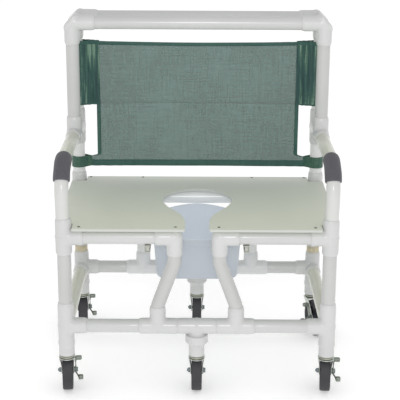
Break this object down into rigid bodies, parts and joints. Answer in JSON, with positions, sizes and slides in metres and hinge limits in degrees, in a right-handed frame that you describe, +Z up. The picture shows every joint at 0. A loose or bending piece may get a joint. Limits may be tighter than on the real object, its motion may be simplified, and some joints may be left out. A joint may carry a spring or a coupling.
{
  "type": "commode chair",
  "caption": "Wide wheeled commode and shower chair: plastic pipe frame, keyhole seat board, slide-out pail, mesh back sling, foam arm grips and braked swivel casters.",
  "frame": {"origin": "on the floor under the middle of the overall footprint at rest, on the chair's left-right midplane", "axes": "+Z up, +Y to the rear of the chair, +X to the right seen from the front"},
  "size_m": [0.8885, 0.6625, 1.1302],
  "materials": {
    "pvc_pipe": "smooth off-white pressure pipe, soft gloss",
    "seat_board": "satin warm grey-green sheet",
    "pail": "pale blue-grey moulded plastic",
    "guide_rail": "white extruded channel",
    "sling_mesh": "dark green coated mesh with bound edges",
    "grip_foam": "matte closed-cell foam",
    "zinc": "zinc plated pressed steel",
    "tyre": "dark grey rubber tread on a moulded hub",
    "brake_metal": "dull greenish zinc plate"
  },
  "bodies": {
    "frame": {"arm_bracket_left": "pvc_pipe", "arm_bracket_right": "pvc_pipe", "arm_grip_left": "grip_foam", "arm_grip_right": "grip_foam", "arm_tube_left": "pvc_pipe", "arm_tube_right": "pvc_pipe", "back_sling": "sling_mesh", "back_upright_left": "pvc_pipe", "back_upright_right": "pvc_pipe", "caster_front_left_stem": "zinc", "caster_front_middle_stem": "zinc", "caster_front_right_stem": "zinc", "caster_rear_left_stem": "zinc", "caster_rear_middle_stem": "zinc", "caster_rear_right_stem": "zinc", "front_leg_left": "pvc_pipe", "front_leg_right": "pvc_pipe", "front_post_left": "pvc_pipe", "front_post_right": "pvc_pipe", "lower_rail_front": "pvc_pipe", "lower_rail_rear": "pvc_pipe", "lower_side_rail_left": "pvc_pipe", "lower_side_rail_right": "pvc_pipe", "pail_rail_left": "guide_rail", "pail_rail_right": "guide_rail", "rear_post_left": "pvc_pipe", "rear_post_right": "pvc_pipe", "seat_board": "seat_board", "seat_crossbar": "pvc_pipe", "seat_rail_rear": "pvc_pipe", "seat_side_rail_left": "pvc_pipe", "seat_side_rail_right": "pvc_pipe", "top_bar_front": "pvc_pipe", "top_bar_rear": "pvc_pipe", "top_corner_left": "pvc_pipe", "top_corner_right": "pvc_pipe"},
    "pail": {"pail": "pail"},
    "caster_front_left_swivel": {"caster_front_left_fork": "zinc", "caster_front_left_axle": "zinc"},
    "caster_front_left_roller": {"caster_front_left_wheel": "tyre"},
    "caster_front_left_brake": {"caster_front_left_brake_lever": "brake_metal"},
    "caster_front_middle_swivel": {"caster_front_middle_fork": "zinc", "caster_front_middle_axle": "zinc"},
    "caster_front_middle_roller": {"caster_front_middle_wheel": "tyre"},
    "caster_front_right_swivel": {"caster_front_right_fork": "zinc", "caster_front_right_axle": "zinc"},
    "caster_front_right_roller": {"caster_front_right_wheel": "tyre"},
    "caster_front_right_brake": {"caster_front_right_brake_lever": "brake_metal"},
    "caster_rear_left_swivel": {"caster_rear_left_fork": "zinc", "caster_rear_left_axle": "zinc"},
    "caster_rear_left_roller": {"caster_rear_left_wheel": "tyre"},
    "caster_rear_left_brake": {"caster_rear_left_brake_lever": "brake_metal"},
    "caster_rear_middle_swivel": {"caster_rear_middle_fork": "zinc", "caster_rear_middle_axle": "zinc"},
    "caster_rear_middle_roller": {"caster_rear_middle_wheel": "tyre"},
    "caster_rear_right_swivel": {"caster_rear_right_fork": "zinc", "caster_rear_right_axle": "zinc"},
    "caster_rear_right_roller": {"caster_rear_right_wheel": "tyre"},
    "caster_rear_right_brake": {"caster_rear_right_brake_lever": "brake_metal"}
  },
  "joints": [
    {"name": "pail_slide", "type": "slide", "parent": "frame", "child": "pail", "axis": [0, 1, 0], "range_m": [0, 0.4]},
    {"name": "front_left_swivel", "type": "hinge", "parent": "frame", "child": "caster_front_left_swivel", "pos_m": [-0.402, -0.2965, 0.1263], "axis": [0, 0, 1], "continuous": true},
    {"name": "front_left_roll", "type": "hinge", "parent": "caster_front_left_swivel", "child": "caster_front_left_roller", "pos_m": [-0.40592, -0.25167, 0.0635], "axis": [0.9962, 0.0872, 0], "continuous": true},
    {"name": "front_left_brake", "type": "hinge", "parent": "caster_front_left_swivel", "child": "caster_front_left_brake", "pos_m": [-0.40592, -0.25167, 0.0635], "axis": [0.9962, 0.0872, 0], "range_deg": [0, 28]},
    {"name": "front_middle_swivel", "type": "hinge", "parent": "frame", "child": "caster_front_middle_swivel", "pos_m": [0, -0.2965, 0.1263], "axis": [0, 0, 1], "continuous": true},
    {"name": "front_middle_roll", "type": "hinge", "parent": "caster_front_middle_swivel", "child": "caster_front_middle_roller", "pos_m": [0.00078, -0.25151, 0.0635], "axis": [0.9998, -0.0175, 0], "continuous": true},
    {"name": "front_right_swivel", "type": "hinge", "parent": "frame", "child": "caster_front_right_swivel", "pos_m": [0.402, -0.2965, 0.1263], "axis": [0, 0, 1], "continuous": true},
    {"name": "front_right_roll", "type": "hinge", "parent": "caster_front_right_swivel", "child": "caster_front_right_roller", "pos_m": [0.40592, -0.25167, 0.0635], "axis": [0.9962, -0.0872, 0], "continuous": true},
    {"name": "front_right_brake", "type": "hinge", "parent": "caster_front_right_swivel", "child": "caster_front_right_brake", "pos_m": [0.40592, -0.25167, 0.0635], "axis": [0.9962, -0.0872, 0], "range_deg": [0, 28]},
    {"name": "rear_left_swivel", "type": "hinge", "parent": "frame", "child": "caster_rear_left_swivel", "pos_m": [-0.402, 0.2215, 0.1263], "axis": [0, 0, 1], "continuous": true},
    {"name": "rear_left_roll", "type": "hinge", "parent": "caster_rear_left_swivel", "child": "caster_rear_left_roller", "pos_m": [-0.40592, 0.26633, 0.0635], "axis": [0.9962, 0.0872, 0], "continuous": true},
    {"name": "rear_left_brake", "type": "hinge", "parent": "caster_rear_left_swivel", "child": "caster_rear_left_brake", "pos_m": [-0.40592, 0.26633, 0.0635], "axis": [0.9962, 0.0872, 0], "range_deg": [0, 28]},
    {"name": "rear_middle_swivel", "type": "hinge", "parent": "frame", "child": "caster_rear_middle_swivel", "pos_m": [0, 0.2215, 0.1263], "axis": [0, 0, 1], "continuous": true},
    {"name": "rear_middle_roll", "type": "hinge", "parent": "caster_rear_middle_swivel", "child": "caster_rear_middle_roller", "pos_m": [0, 0.2665, 0.0635], "axis": [1, 0, 0], "continuous": true},
    {"name": "rear_right_swivel", "type": "hinge", "parent": "frame", "child": "caster_rear_right_swivel", "pos_m": [0.402, 0.2215, 0.1263], "axis": [0, 0, 1], "continuous": true},
    {"name": "rear_right_roll", "type": "hinge", "parent": "caster_rear_right_swivel", "child": "caster_rear_right_roller", "pos_m": [0.41739, 0.17921, 0.0635], "axis": [-0.9397, -0.342, 0], "continuous": true},
    {"name": "rear_right_brake", "type": "hinge", "parent": "caster_rear_right_swivel", "child": "caster_rear_right_brake", "pos_m": [0.41739, 0.17921, 0.0635], "axis": [-0.9397, -0.342, 0], "range_deg": [0, 28]}
  ]
}
